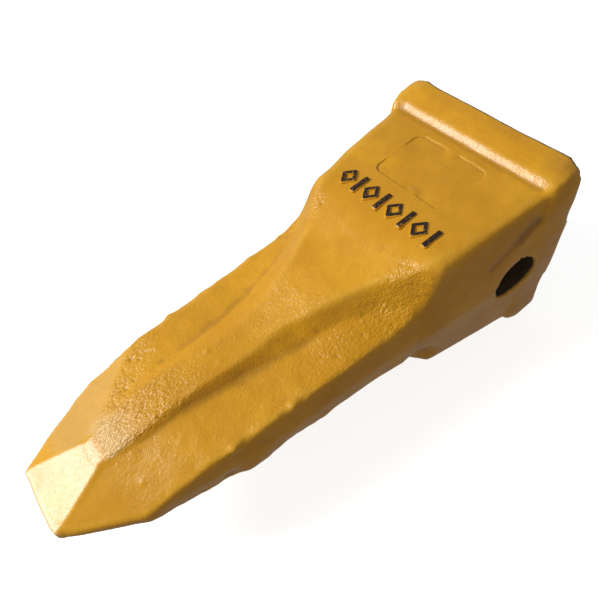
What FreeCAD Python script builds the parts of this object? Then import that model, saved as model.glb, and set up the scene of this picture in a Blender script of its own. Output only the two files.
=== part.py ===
import FreeCAD, Part
import math
import os
import Sketcher

# Excavator bucket tooth: one hollow steel casting, the pin that holds it on its adapter nose,
# and the retainer that keeps the pin in place. Millimetres. The origin is the centre of the
# socket mouth, +X points along the tooth to its cutting tip, +Y runs along the pin, +Z is up.

document = FreeCAD.newDocument("BucketTooth")
sheet = document.addObject("Spreadsheet::Sheet", "Sizes")

DRIVING_SIZES = {
    "bore_at": 36.0,
    "bore_radius": 15.0,
    "pin_radius": 14.0,
    "pin_length": 114.0,
    "pin_chamfer": 2.0,
    "pin_backed_out": 20.0,
    "groove_at": 31.0,
    "groove_width": 5.4,
    "groove_radius": 11.4,
    "ring_inner_radius": 11.8,
    "ring_outer_radius": 16.0,
    "ring_width": 4.6,
    "ring_gap_angle": 26.0,
    "rubber_inner_radius": 14.4,
    "rubber_outer_radius": 22.5,
    "rubber_width": 12.0,
    "rubber_seat_gap": 0.05,
    "rubber_chamfer": 1.5,
    "panel_recess": 0.6,
    "panel_from": 3.3,
    "panel_to": 41.8,
    "panel_left": 27.5,
    "panel_right": 22.5,
    "mark_height": 1.0,
    "mark_root": 0.3,
    "mark_half_height": 6.4,
    "mark_half_width": 5.0,
    "mark_stroke": 2.8,
    "mark_row_at": 56.2,
    "mark_row_start": 32.2,
    "mark_spacing": 9.3,
    "mark_pairs": 4,
}

# The lines that shape the casting, as straight runs between (distance from the rear face, size)
# corners. They are the same left and right, top and bottom. In one quarter a cross-section has
# a top corner, a valley point beside the ridge, the shoulder edge and a point half-way up the
# side, where the mould halves meet.
LINES = {
    "top_half": (
        ((0, 49), (16, 50.5), (22, 50.5), (26, 49.5), (92.5, 44.5), (107, 36.5))
        + ((120, 26.5), (140, 18.5), (163, 11.5), (195, 11.5), (230, 10), (273, 7.5), (304.5, 19))
    ),
    "top_height": (
        ((0, 61), (16, 58.5), (22, 56), (26, 51.5), (92.5, 46), (98, 44), (107, 39), (120, 34.5))
        + ((140, 31), (163, 24.5), (180, 20.5), (230, 19.5), (273, 12.5), (304.5, 3))
    ),
    "valley_half": (
        ((0, 56), (16, 56.5), (22, 55.5), (26, 54), (92.5, 48), (107, 43), (120, 35.5))
        + ((140, 26.5), (163, 21), (195, 16.5), (230, 13), (273, 8.5), (304.5, 19.5))
    ),
    "valley_height": (
        ((0, 58.5), (16, 57), (22, 55), (26, 51), (92.5, 44.5), (98, 40), (107, 28.5))
        + ((120, 23.5), (140, 21.5), (163, 16.5), (180, 14.5), (195, 14.5), (230, 16))
        + ((273, 11.5), (304.5, 2.5))
    ),
    "edge_half": (
        ((0, 58.5), (16, 57.5), (22, 57), (26, 55), (92.5, 49.5), (98, 50), (107, 49.5))
        + ((140, 47.5), (195, 45), (230, 42.5), (268, 39.5), (273, 36.5), (304.5, 19.75))
    ),
    "edge_height": (
        ((0, 52), (16, 51), (22, 49.5), (26, 47.5), (92.5, 42), (98, 32.5), (107, 21.5))
        + ((120, 17.5), (163, 15.5), (195, 14.5), (230, 12.5), (268, 3.5), (304.5, 2))
    ),
}
# The sides lean in from the mould line by this share of the height, up to the collar's width.
SIDE_DRAFT = 0.12
COLLAR_SIDE = 60.0

# Where the casting's cross-sections stand.
STATIONS = {
    "rear": 0.0,
    "crest": 16.0,
    "lip": 22.0,
    "foot": 26.0,
    "brow": 92.5,
    "drop": 98.0,
    "step": 107.0,
    "hollow": 120.0,
    "knee": 140.0,
    "waist": 163.0,
    "saddle": 180.0,
    "middle": 195.0,
    "cheek": 230.0,
    "turn": 268.0,
    "bevel": 273.0,
    "tip": 304.5,
}
SECTION_FIELDS = ("at",) + tuple(LINES) + ("side_half",)


def size_on(line, at):
    """Size of a line at a distance, on the straight run that the distance falls in."""
    for (start, low), (finish, high) in zip(line[:-1], line[1:]):
        if start <= at <= finish:
            return low + (high - low) * (at - start) / (finish - start)


def cross_section(at):
    """Distance of a section and the sizes of the casting there."""
    sizes = [size_on(line, at) for line in LINES.values()]
    edge_half, edge_height = sizes[-2:]
    side_half = min(COLLAR_SIDE, edge_half + SIDE_DRAFT * edge_height)
    return (at, *sizes, side_half)


SECTIONS = {name: cross_section(at) for name, at in STATIONS.items()}

# Cross-sections of the wedge-shaped socket: distance, half width, half height, corner cut.
SOCKET_SECTIONS = {
    "mouth": (-1.0, 44.5, 45.5, 9.0),
    "seat": (10.0, 42.5, 42.5, 8.0),
    "pinned": (40.0, 39.5, 36.0, 8.0),
    "wedge": (76.0, 36.5, 29.0, 7.0),
    "throat": (106.0, 33.5, 19.5, 5.0),
    "stop": (126.0, 31.5, 13.0, 4.0),
}
SOCKET_FIELDS = ("at", "half_width", "half_height", "corner_cut")


def write_sizes():
    """Put every driving dimension in the sheet, one named cell each."""
    named = dict(DRIVING_SIZES)
    for prefix, values in SECTIONS.items():
        for field, value in zip(SECTION_FIELDS, values):
            named[prefix + "_" + field] = value
    for prefix, values in SOCKET_SECTIONS.items():
        for field, value in zip(SOCKET_FIELDS, values):
            named[prefix + "_" + field] = value
    for row, (alias, value) in enumerate(named.items(), start=1):
        sheet.set("A%d" % row, alias)
        sheet.set("B%d" % row, str(value))
        sheet.setAlias("B%d" % row, alias)
    document.recompute()


def value_of(expression):
    """Number that an expression on the sheet works out to."""
    return float(sheet.evalExpression(expression))


def new_body(label):
    """Empty body whose label is the name of its piece."""
    body = document.addObject("PartDesign::Body", label)
    body.Label = label
    return body


def new_sketch(body, name, role):
    """Sketch on one of the body's own origin planes."""
    sketch = body.newObject("Sketcher::SketchObject", name)
    plane = next(p for p in body.Origin.OriginFeatures if p.Role == role)
    sketch.AttachmentSupport = [(plane, "")]
    sketch.MapMode = "FlatFace"
    return sketch


def hold_point(sketch, line, across, upward):
    """Fix the start of a line at two sheet expressions."""
    steps = (("DistanceX", across, -2), ("DistanceY", upward, -1))
    for kind, expression, axis in steps:
        value = value_of(expression)
        if abs(value) < 1e-9:
            sketch.addConstraint(Sketcher.Constraint("PointOnObject", line, 1, axis))
            continue
        if value > 0:
            number = sketch.addConstraint(Sketcher.Constraint(kind, -1, 1, line, 1, value))
            sketch.setExpression("Constraints[%d]" % number, expression)
        else:
            number = sketch.addConstraint(Sketcher.Constraint(kind, line, 1, -1, 1, -value))
            sketch.setExpression("Constraints[%d]" % number, "-(%s)" % expression)


def add_polygon(sketch, points):
    """Closed outline through points given as pairs of sheet expressions."""
    corners = [FreeCAD.Vector(value_of(a), value_of(b), 0) for a, b in points]
    count = len(corners)
    lines = []
    for index in range(count):
        segment = Part.LineSegment(corners[index], corners[(index + 1) % count])
        lines.append(sketch.addGeometry(segment, False))
    for index in range(count):
        follower = lines[(index + 1) % count]
        sketch.addConstraint(Sketcher.Constraint("Coincident", lines[index], 2, follower, 1))
    for line, (across, upward) in zip(lines, points):
        hold_point(sketch, line, across, upward)


def mirrored_quarter(quarter):
    """Whole outline from the points of the upper right quarter, top to side."""
    right = list(quarter)
    lower_right = [(a, "-(%s)" % b) for a, b in reversed(quarter)]
    lower_left = [("-(%s)" % a, "-(%s)" % b) for a, b in quarter]
    upper_left = [("-(%s)" % a, b) for a, b in reversed(quarter)]
    return right, lower_right, lower_left, upper_left


def casting_section(body, prefix):
    """One cross-section of the outside of the casting."""
    sketch = new_sketch(body, "section_" + prefix, "YZ_Plane")
    sketch.setExpression(".AttachmentOffset.Base.z", "Sizes.%s_at" % prefix)
    quarter = [
        ("Sizes.%s_top_half" % prefix, "Sizes.%s_top_height" % prefix),
        ("Sizes.%s_valley_half" % prefix, "Sizes.%s_valley_height" % prefix),
        ("Sizes.%s_edge_half" % prefix, "Sizes.%s_edge_height" % prefix),
    ]
    right, lower_right, lower_left, upper_left = mirrored_quarter(quarter)
    side = "Sizes.%s_side_half" % prefix
    outline = right + [(side, "0")] + lower_right + lower_left
    outline += [("-(%s)" % side, "0")] + upper_left
    add_polygon(sketch, outline)
    return sketch


def socket_section(body, prefix):
    """One cross-section of the socket, a rectangle with cut corners."""
    sketch = new_sketch(body, "socket_" + prefix, "YZ_Plane")
    sketch.setExpression(".AttachmentOffset.Base.z", "Sizes.%s_at" % prefix)
    cut = "Sizes.%s_corner_cut" % prefix
    wide = "Sizes.%s_half_width" % prefix
    tall = "Sizes.%s_half_height" % prefix
    quarter = [("%s - %s" % (wide, cut), tall), (wide, "%s - %s" % (tall, cut))]
    right, lower_right, lower_left, upper_left = mirrored_quarter(quarter)
    add_polygon(sketch, right + lower_right + lower_left + upper_left)
    return sketch


def add_loft(body, kind, name, sketches):
    """Straight-sided loft through a row of sketches."""
    loft = body.newObject("PartDesign::" + kind, name)
    loft.Profile = sketches[0]
    loft.Sections = sketches[1:]
    loft.Ruled = True
    document.recompute()
    return loft


def must_cut(body, before, name):
    """Stop if a cutting feature has taken no material away."""
    if body.Shape.Volume >= before - 1.0:
        raise RuntimeError("%s cut nothing" % name)


def must_add(body, before, name):
    """Stop if an adding feature has put no material on."""
    if body.Shape.Volume <= before + 1.0:
        raise RuntimeError("%s added nothing" % name)


def cut_pin_bore(body):
    """Round hole for the pin through both side walls."""
    before = body.Shape.Volume
    sketch = new_sketch(body, "bore_circle", "XZ_Plane")
    centre = FreeCAD.Vector(value_of("Sizes.bore_at"), 0, 0)
    radius = value_of("Sizes.bore_radius")
    circle = Part.Circle(centre, FreeCAD.Vector(0, 0, 1), radius)
    ring = sketch.addGeometry(circle, False)
    sketch.addConstraint(Sketcher.Constraint("PointOnObject", ring, 3, -1))
    place = sketch.addConstraint(Sketcher.Constraint("DistanceX", -1, 1, ring, 3, centre.x))
    size = sketch.addConstraint(Sketcher.Constraint("Radius", ring, radius))
    sketch.setExpression("Constraints[%d]" % place, "Sizes.bore_at")
    sketch.setExpression("Constraints[%d]" % size, "Sizes.bore_radius")
    bore = body.newObject("PartDesign::Pocket", "pin_bore")
    bore.Profile = sketch
    bore.SideType = "Symmetric"
    bore.setExpression("Length", "Sizes.rear_side_half * 2 + 10")
    document.recompute()
    must_cut(body, before, "pin_bore")


def on_top_face(sketch, forward, across, depth):
    """Lay a sketch on the sloping top face, at a distance along it from the collar's foot."""
    run = "(Sizes.brow_at - Sizes.foot_at)"
    fall = "(Sizes.foot_top_height - Sizes.brow_top_height)"
    slope = math.atan2(value_of(fall), value_of(run))
    tilt = FreeCAD.Rotation(FreeCAD.Vector(0, 1, 0), math.degrees(slope))
    sketch.AttachmentOffset = FreeCAD.Placement(FreeCAD.Vector(), tilt)
    length = "sqrt(%s^2 + %s^2)" % (run, fall)
    base = ".AttachmentOffset.Base"
    inward = "(%s) * %s / %s" % (depth, fall, length)
    outward = "Sizes.foot_at + (%s) * %s / %s" % (forward, run, length)
    sketch.setExpression(base + ".x", "%s - %s" % (outward, inward))
    sketch.setExpression(base + ".y", across)
    level = "Sizes.foot_top_height - (%s) * %s / %s" % (forward, fall, length)
    sketch.setExpression(base + ".z", "%s - (%s) * %s / %s" % (level, depth, run, length))


def sink_panel(body):
    """Shallow blank rectangle in the top face, in front of the collar."""
    before = body.Shape.Volume
    sketch = new_sketch(body, "panel_outline", "XY_Plane")
    on_top_face(sketch, "0", "0", "0")
    rear, front = "Sizes.panel_from", "Sizes.panel_to"
    left, right = "-(Sizes.panel_left)", "Sizes.panel_right"
    add_polygon(sketch, [(rear, left), (front, left), (front, right), (rear, right)])
    panel = body.newObject("PartDesign::Pocket", "blank_panel")
    panel.Profile = sketch
    panel.setExpression("Length", "Sizes.panel_recess")
    document.recompute()
    must_cut(body, before, "blank_panel")


def mark_outlines(shape):
    """Outer and inner outline of one cast mark, a lozenge or a bar."""
    tall, wide = "Sizes.mark_half_height", "Sizes.mark_half_width"
    stroke = "Sizes.mark_stroke"
    if shape == "bar":
        half = "%s / 2" % stroke
        corners = [(tall, half), ("-(%s)" % tall, half)]
        corners += [("-(%s)" % tall, "-(%s)" % half), (tall, "-(%s)" % half)]
        return [corners]
    outlines = []
    for inset in ("0", stroke):
        up = "(%s - %s)" % (tall, inset)
        side = "(%s - %s * %s / %s)" % (wide, inset, wide, tall)
        corners = [(up, "0"), ("0", side), ("-" + up, "0"), ("0", "-" + side)]
        outlines.append(corners)
    return outlines


def raise_marks(body):
    """Row of plain foundry marks, lozenge and bar by turns, across the top face."""
    for order, shape in enumerate(("lozenge", "bar")):
        before = body.Shape.Volume
        sketch = new_sketch(body, shape + "_outline", "XY_Plane")
        across = "-(Sizes.mark_row_start) + %d * Sizes.mark_spacing" % order
        on_top_face(sketch, "Sizes.mark_row_at", across, "Sizes.mark_root")
        for outline in mark_outlines(shape):
            add_polygon(sketch, outline)
        mark = body.newObject("PartDesign::Pad", shape + "_mark")
        mark.Profile = sketch
        mark.setExpression("Length", "Sizes.mark_root + Sizes.mark_height")
        document.recompute()
        must_add(body, before, mark.Name)
        before = body.Shape.Volume
        row = body.newObject("PartDesign::LinearPattern", shape + "_row")
        row.Originals = [mark]
        row.Direction = (sketch, ["V_Axis"])
        row.setExpression("Length", "2 * Sizes.mark_spacing * (Sizes.mark_pairs - 1)")
        row.setExpression("Occurrences", "Sizes.mark_pairs")
        body.Tip = row
        document.recompute()
        must_add(body, before, row.Name)


def make_casting():
    """The hollow casting: outside, socket, pin bore, blank panel and marks."""
    body = new_body("tooth_casting")
    outside = [casting_section(body, prefix) for prefix in SECTIONS]
    add_loft(body, "AdditiveLoft", "outside", outside)
    before = body.Shape.Volume
    inside = [socket_section(body, prefix) for prefix in SOCKET_SECTIONS]
    add_loft(body, "SubtractiveLoft", "socket", inside)
    must_cut(body, before, "socket")
    cut_pin_bore(body)
    sink_panel(body)
    raise_marks(body)
    return body


def add_revolution(body, sketch, name, angle):
    """Turn a profile about the pin's axis."""
    solid = body.newObject("PartDesign::Revolution", name)
    solid.Profile = sketch
    solid.ReferenceAxis = (sketch, ["V_Axis"])
    solid.setExpression("Angle", angle)
    document.recompute()
    return solid


def place_on_pin(body, along):
    """Set a piece on the bore's axis, carried back with the pin."""
    body.setExpression(".Placement.Base.x", "Sizes.bore_at")
    body.setExpression(".Placement.Base.y", "%s - Sizes.pin_backed_out" % along)


def make_pin():
    """Solid pin with cut ends and one groove for the retainer's ring."""
    body = new_body("retaining_pin")
    sketch = new_sketch(body, "pin_profile", "XY_Plane")
    radius, cut = "Sizes.pin_radius", "Sizes.pin_chamfer"
    end = "Sizes.pin_length / 2"
    floor = "Sizes.groove_radius"
    near = "Sizes.groove_at - Sizes.groove_width / 2"
    far = "Sizes.groove_at + Sizes.groove_width / 2"
    outline = [
        ("0", "-(%s)" % end),
        ("%s - %s" % (radius, cut), "-(%s)" % end),
        (radius, "-(%s) + %s" % (end, cut)),
        (radius, near),
        (floor, near),
        (floor, far),
        (radius, far),
        (radius, "%s - %s" % (end, cut)),
        ("%s - %s" % (radius, cut), end),
        ("0", end),
    ]
    add_polygon(sketch, outline)
    add_revolution(body, sketch, "pin_solid", "360")
    place_on_pin(body, "0")
    return body


def make_rubber():
    """Rubber collar of the retainer, with an inner seat for the steel ring."""
    body = new_body("retainer_rubber")
    sketch = new_sketch(body, "rubber_profile", "XY_Plane")
    inner, outer = "Sizes.rubber_inner_radius", "Sizes.rubber_outer_radius"
    cut, half = "Sizes.rubber_chamfer", "Sizes.rubber_width / 2"
    seat = "Sizes.ring_outer_radius + Sizes.rubber_seat_gap"
    seat_half = "Sizes.ring_width / 2 + Sizes.rubber_seat_gap"
    outline = [
        (inner, "-(%s)" % half),
        ("%s - %s" % (outer, cut), "-(%s)" % half),
        (outer, "-(%s) + %s" % (half, cut)),
        (outer, "%s - %s" % (half, cut)),
        ("%s - %s" % (outer, cut), half),
        (inner, half),
        (inner, seat_half),
        (seat, seat_half),
        (seat, "-(%s)" % seat_half),
        (inner, "-(%s)" % seat_half),
    ]
    add_polygon(sketch, outline)
    add_revolution(body, sketch, "rubber_solid", "360")
    place_on_pin(body, "Sizes.groove_at")
    return body


def make_snap_ring():
    """Split steel ring that springs into the pin's groove."""
    body = new_body("retainer_snap_ring")
    sketch = new_sketch(body, "ring_profile", "XY_Plane")
    inner, outer = "Sizes.ring_inner_radius", "Sizes.ring_outer_radius"
    half = "Sizes.ring_width / 2"
    outline = [(inner, "-(%s)" % half), (outer, "-(%s)" % half), (outer, half), (inner, half)]
    add_polygon(sketch, outline)
    add_revolution(body, sketch, "ring_solid", "360 - Sizes.ring_gap_angle")
    place_on_pin(body, "Sizes.groove_at")
    return body


def check_document():
    """Stop if any object of the document has failed."""
    for item in document.Objects:
        if "Invalid" in item.State or "Error" in item.State:
            raise RuntimeError("%s failed: %s" % (item.Name, item.State))


def export_pieces(bodies):
    """Write one STEP file per piece."""
    os.makedirs("parts", exist_ok=True)
    for body in bodies:
        if body.Shape.isNull() or not body.Shape.isValid():
            raise RuntimeError("%s has no valid shape" % body.Label)
        print(body.Label, round(body.Shape.Volume), body.Shape.BoundBox)
        body.Shape.exportStep("parts/%s.step" % body.Label)


write_sizes()
pieces = [make_casting(), make_pin(), make_rubber(), make_snap_ring()]
document.recompute()
check_document()
export_pieces(pieces)
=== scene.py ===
import math

import bmesh
import bpy
import numpy as np
from mathutils import Matrix, Vector, noise
from mathutils.bvhtree import BVHTree


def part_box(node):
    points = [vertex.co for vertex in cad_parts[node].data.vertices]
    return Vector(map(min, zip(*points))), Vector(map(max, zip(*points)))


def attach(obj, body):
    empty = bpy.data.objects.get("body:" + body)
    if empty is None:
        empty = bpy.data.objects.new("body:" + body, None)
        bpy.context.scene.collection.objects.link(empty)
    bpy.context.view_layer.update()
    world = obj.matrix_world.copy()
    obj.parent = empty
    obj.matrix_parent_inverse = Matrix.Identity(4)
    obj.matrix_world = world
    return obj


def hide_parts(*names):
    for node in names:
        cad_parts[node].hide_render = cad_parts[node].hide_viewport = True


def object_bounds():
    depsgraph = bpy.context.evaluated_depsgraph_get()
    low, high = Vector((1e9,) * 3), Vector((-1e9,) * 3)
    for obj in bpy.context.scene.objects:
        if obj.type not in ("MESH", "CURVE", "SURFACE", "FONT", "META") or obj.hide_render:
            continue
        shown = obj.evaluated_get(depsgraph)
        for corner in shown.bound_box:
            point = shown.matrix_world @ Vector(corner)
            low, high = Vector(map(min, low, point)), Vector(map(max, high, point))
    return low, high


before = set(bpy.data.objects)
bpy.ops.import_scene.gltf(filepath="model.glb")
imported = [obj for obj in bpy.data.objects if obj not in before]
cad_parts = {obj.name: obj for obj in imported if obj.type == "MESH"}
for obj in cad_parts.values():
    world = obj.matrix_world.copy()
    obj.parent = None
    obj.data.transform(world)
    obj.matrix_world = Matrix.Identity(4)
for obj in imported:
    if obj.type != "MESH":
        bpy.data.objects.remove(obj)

# Excavator bucket tooth: one painted casting with its side pin, rubber retainer and snap ring.
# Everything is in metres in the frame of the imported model: +X runs along the tooth to its tip,
# +Y along the pin, +Z up. Sizes that are easier to read in millimetres are multiplied by MM.

MM = 0.001
cad_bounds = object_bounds()

# The sloping top face of the box part, from the collar's foot to the brow.
FOOT_X, FOOT_Z = 26.0 * MM, 51.5 * MM
BROW_X, BROW_Z = 92.5 * MM, 46.0 * MM
FACE_SLOPE = (FOOT_Z - BROW_Z) / (BROW_X - FOOT_X)
# How far the collar's foot is set back on top: it lies nearer to the rear there than below.
FOOT_SETBACK = 4.2 * MM

# The pin bore, and the side it goes through: how far out the side is there, how much it
# comes in per metre forward and per metre above or below the middle.
BORE_X = 36.0 * MM
BORE_RADIUS = 15.0 * MM
BORE_SIDE, SIDE_TAPER, SIDE_LEAN = 59.5 * MM, 0.080, 0.104

# A box near the socket's walls: its end, half width and half height at the mouth, and what
# both lose by the end. From 46 to 112 mm in, the sloping walls are up to 2 mm outside it.
SOCKET_END = 126.0 * MM
MOUTH_HALF_WIDTH, MOUTH_HALF_HEIGHT = 45.5 * MM, 46.8 * MM
WIDTH_LOSS, HEIGHT_LOSS = 13.0 * MM, 33.0 * MM

# The bevel at the tip: where it begins, its height and half width there, and how much they
# change per metre forward.
BEVEL_X = 273.0 * MM
BEVEL_HEIGHT, BEVEL_FALL = 12.7 * MM, 9.6 / 31.5
BEVEL_HALF_WIDTH, BEVEL_WIDENING = 7.5 * MM, 11.4 / 31.5

# The crease behind the bevel: where its inner end lies, and how far it runs back per metre
# outwards.
FACET_X, FACET_HALF, FACET_SWEEP = 268.0 * MM, 8.9 * MM, 1.124

# How near the CAD mesh's vertices are to count as one, and the grid it is remeshed on.
WELD_DISTANCE = 0.002 * MM
VOXEL = 1.38 * MM


def ramp(value, low, high):
    """Smooth step from 0 at low to 1 at high; works on numbers and arrays."""
    t = np.clip((np.asarray(value, float) - low) / (high - low), 0.0, 1.0)
    return t * t * (3.0 - 2.0 * t)


def window(value, low, high, soft):
    """1 between low and high, falling to 0 over a soft margin on each side."""
    return ramp(value, low - soft, low + soft) * (1.0 - ramp(value, high - soft, high + soft))


def mound(away):
    """1 at the middle of a lump, a fifth at its radius and almost nothing at twice that."""
    return np.exp(-1.5 * away**2)


def link_object(name, data):
    """Put a mesh, light or camera in the scene as a new object."""
    piece = bpy.data.objects.new(name, data)
    bpy.context.scene.collection.objects.link(piece)
    return piece


def piece_from(shell, name):
    """New object from a finished bmesh, which is freed."""
    mesh = bpy.data.meshes.new(name)
    shell.to_mesh(mesh)
    shell.free()
    return link_object(name, mesh)


def apply_modifiers(piece):
    """Replace a piece's mesh by the result of its modifiers."""
    graph = bpy.context.evaluated_depsgraph_get()
    result = bpy.data.meshes.new_from_object(piece.evaluated_get(graph))
    old = piece.data
    piece.modifiers.clear()
    piece.vertex_groups.clear()
    piece.data = result
    bpy.data.meshes.remove(old)


def points_of(mesh):
    """Vertex positions as an array."""
    flat = np.zeros(len(mesh.vertices) * 3, np.float32)
    mesh.vertices.foreach_get("co", flat)
    return flat.reshape(-1, 3).astype(float)


def normals_of(mesh):
    """Vertex normals as an array."""
    flat = np.zeros(len(mesh.vertices) * 3, np.float32)
    mesh.vertex_normals.foreach_get("vector", flat)
    return flat.reshape(-1, 3).astype(float)


def move_points(mesh, points):
    """Write vertex positions back."""
    mesh.vertices.foreach_set("co", points.astype(np.float32).ravel())
    mesh.update()


def weight_group(piece, name, weights):
    """Vertex group from an array of weights, in steps of a hundredth."""
    group = piece.vertex_groups.new(name=name)
    steps = np.round(np.clip(weights, 0.0, 1.0) * 100).astype(int)
    for step in np.unique(steps):
        if step > 0:
            members = np.nonzero(steps == step)[0]
            group.add(members.tolist(), step / 100.0, "REPLACE")


def store_field(mesh, name, values):
    """Keep a number per vertex for the material to read."""
    layer = mesh.attributes.new(name, "FLOAT", "POINT")
    layer.data.foreach_set("value", values.astype(np.float32))


def noise_field(points, size, seed):
    """Smooth noise between about -1 and 1 with lumps of the given size."""
    shift = Vector((seed * 17.3, seed * 5.1, seed * 9.7))
    return np.array([noise.noise(Vector(p) / size + shift) for p in points])


def shade_smooth(piece):
    """Smooth shading on every face."""
    piece.data.polygons.foreach_set("use_smooth", [True] * len(piece.data.polygons))


# ------------------------ casting


def even_copy():
    """The casting's CAD shape, remeshed evenly."""
    shell = bmesh.new()
    shell.from_mesh(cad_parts["tooth_casting"].data)
    bmesh.ops.remove_doubles(shell, verts=shell.verts, dist=WELD_DISTANCE)
    piece = piece_from(shell, "tooth_body")
    remesh = piece.modifiers.new("even", "REMESH")
    remesh.mode = "VOXEL"
    remesh.voxel_size = VOXEL
    apply_modifiers(piece)
    return piece


def face_level(x):
    """Height of the box's top face at a distance along the tooth."""
    return FOOT_Z - FACE_SLOPE * (x - FOOT_X)


def clear_top_face(piece):
    """Move the collar's foot back, and level out the CAD panel and marks in the top face."""
    points = points_of(piece.data)
    x, y, z = points.T
    foot = ramp(x, 7 * MM, 17 * MM) * (1 - ramp(x, 27 * MM, 38 * MM)) * ramp(z, 38 * MM, 48 * MM)
    x -= FOOT_SETBACK * foot * ramp(y, -57 * MM, -48 * MM)
    near = (x > 23.4 * MM) & (x < 90.5 * MM) & (np.abs(y) < 43.5 * MM)
    on_face = near & (z > face_level(x) - 2.2 * MM)
    points[on_face, 2] = face_level(x)[on_face]
    move_points(piece.data, points)


def outside_share(points):
    """1 on the casting outside the box round the socket, 0 on the walls within it."""
    x, y, z = points.T
    depth = np.clip(x / SOCKET_END, 0, 1)
    wide = MOUTH_HALF_WIDTH - WIDTH_LOSS * depth
    tall = MOUTH_HALF_HEIGHT - HEIGHT_LOSS * depth
    over = np.maximum(np.abs(y) - wide, np.abs(z) - tall)
    over = np.maximum(over, x - SOCKET_END - 2 * MM)
    return ramp(over, -0.6 * MM, 0.6 * MM)


def smooth_long_profile(piece):
    """Turn the straight runs between the casting's cross-sections into flowing curves."""
    tree = BVHTree.FromObject(piece, bpy.context.evaluated_depsgraph_get())
    stations = np.arange(60.0, 300.0, 1.0) * MM
    heights = []
    for station in stations:
        above = Vector((station, 0.0, 0.1))
        heights.append(tree.ray_cast(above, Vector((0, 0, -1)))[0].z)
    heights = np.array(heights)
    reach, deviation = 27, 9.0
    spread = np.exp(-0.5 * (np.arange(-reach, reach + 1) / deviation) ** 2)
    spread /= spread.sum()
    padded = np.pad(heights, reach, mode="reflect", reflect_type="odd")
    flowing = np.convolve(padded, spread, mode="valid")
    points = points_of(piece.data)
    x, y, z = points.T
    ratio = np.interp(x, stations, flowing / heights)
    share = window(x, 84 * MM, 262 * MM, 6 * MM) * outside_share(points)
    share *= 1.0 - window(x, 60 * MM, 104 * MM, 6 * MM) * ramp(np.abs(y), 30 * MM, 44 * MM)
    points[:, 2] = z * (1.0 + (ratio - 1.0) * share)
    move_points(piece.data, points)


def side_face(points):
    """How far out the side of the box lies beside the bore, halfway between its edges."""
    return BORE_SIDE - SIDE_TAPER * (points[:, 0] - BORE_X) - SIDE_LEAN * np.abs(points[:, 2])


def left_valley(x):
    """Where the valley on the ridge's left side runs, as a y position."""
    stations = (120, 140, 163, 195, 230, 273)
    return -MM * np.interp(x / MM, stations, (35.5, 26.5, 21.0, 16.5, 13.0, 8.5))


def edge_softness(points):
    """How much each edge is rounded: more on the box and collar than on the neck and the tip."""
    x, y, z = points.T
    wide, high = np.abs(y), np.abs(z)
    amount = 1.0 - 0.72 * ramp(x, 200 * MM, 268 * MM)
    amount *= 1.0 - 0.35 * (1.0 - ramp(x, 2 * MM, 7 * MM))
    collar_foot = window(x, 11 * MM, 24 * MM, 2 * MM) * ramp(high, 46 * MM, 50 * MM)
    amount *= 1.0 - 0.72 * collar_foot
    brow_ends = window(x, 86 * MM, 106 * MM, 4 * MM) * ramp(wide, 32 * MM, 40 * MM)
    amount *= 1.0 - 0.65 * brow_ends
    shoulders = window(x, 108 * MM, 262 * MM, 8 * MM) * ramp(wide, 36 * MM, 41 * MM)
    amount *= 1.0 - 0.5 * shoulders
    left_crest = window(y, -15 * MM, -6 * MM, 2 * MM) * window(x, 170 * MM, 262 * MM, 8 * MM)
    amount = np.maximum(amount, left_crest * (z > 0))
    collar_ends = ramp(wide, 46 * MM, 52 * MM) * ramp(high, 44 * MM, 50 * MM)
    amount *= 1.0 - 0.6 * collar_ends * (1.0 - ramp(x, 9 * MM, 15 * MM))
    outer = outside_share(points)
    amount = amount * outer + 0.35 * (1.0 - outer)
    bore = np.hypot(x - BORE_X, z)
    amount *= 1.0 - 0.7 * (1.0 - ramp(bore, BORE_RADIUS + 0.5 * MM, BORE_RADIUS + 4 * MM))
    return amount


def left_flank(points):
    """1 from the valley on the ridge's left side up to the crest, where the edge is softest."""
    x, y, z = points.T
    band = window(y - left_valley(x), -3 * MM, 9 * MM, 3 * MM)
    band *= window(x, 108 * MM, 250 * MM, 10 * MM)
    return band * (z > 0) * outside_share(points)


def smooth_where(piece, name, weights, rounds):
    """Smooth a piece's mesh in proportion to a weight per vertex."""
    weight_group(piece, name, weights)
    smooth = piece.modifiers.new(name, "SMOOTH")
    smooth.factor = 0.5
    smooth.iterations = rounds
    smooth.vertex_group = name
    apply_modifiers(piece)


def soften_edges(piece):
    """Round the casting's edges, and once more along the valley on the left."""
    smooth_where(piece, "soften", edge_softness(points_of(piece.data)), 14)
    smooth_where(piece, "left_edge", left_flank(points_of(piece.data)), 40)


def restore_shape(piece):
    """Give back what the smoothing took, arch the neck, and true up the bevel and the bore."""
    points = points_of(piece.data)
    outer = outside_share(points)
    points += normals_of(piece.data) * (0.4 * MM * outer)[:, None]
    x, y, z = points.T
    x += 1.0 * MM * ramp(x, 294 * MM, 304 * MM)
    along = np.clip((x - 226 * MM) / (47 * MM), 0, 1)
    z += np.sign(z) * 3.6 * MM * along * (1.0 - along) * outer
    bevel = BEVEL_HEIGHT - BEVEL_FALL * (x - BEVEL_X)
    flat = (x > 276 * MM) & (np.abs(np.abs(z) - bevel) < 0.75 * MM)
    flat &= np.abs(y) < BEVEL_HALF_WIDTH + BEVEL_WIDENING * (x - BEVEL_X)
    z[flat] = np.sign(z[flat]) * bevel[flat]
    away = np.hypot(x - BORE_X, z)
    wall = (away < BORE_RADIUS + 0.7 * MM) & (np.abs(y) > 30 * MM)
    scale = BORE_RADIUS / away[wall]
    x[wall] = BORE_X + (x[wall] - BORE_X) * scale
    z[wall] *= scale
    side = side_face(points)
    rim = wall & (np.abs(np.abs(y) - side) < 1.0 * MM)
    y[rim] = np.sign(y[rim]) * (side[rim] - 0.1 * MM)
    move_points(piece.data, points)


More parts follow.
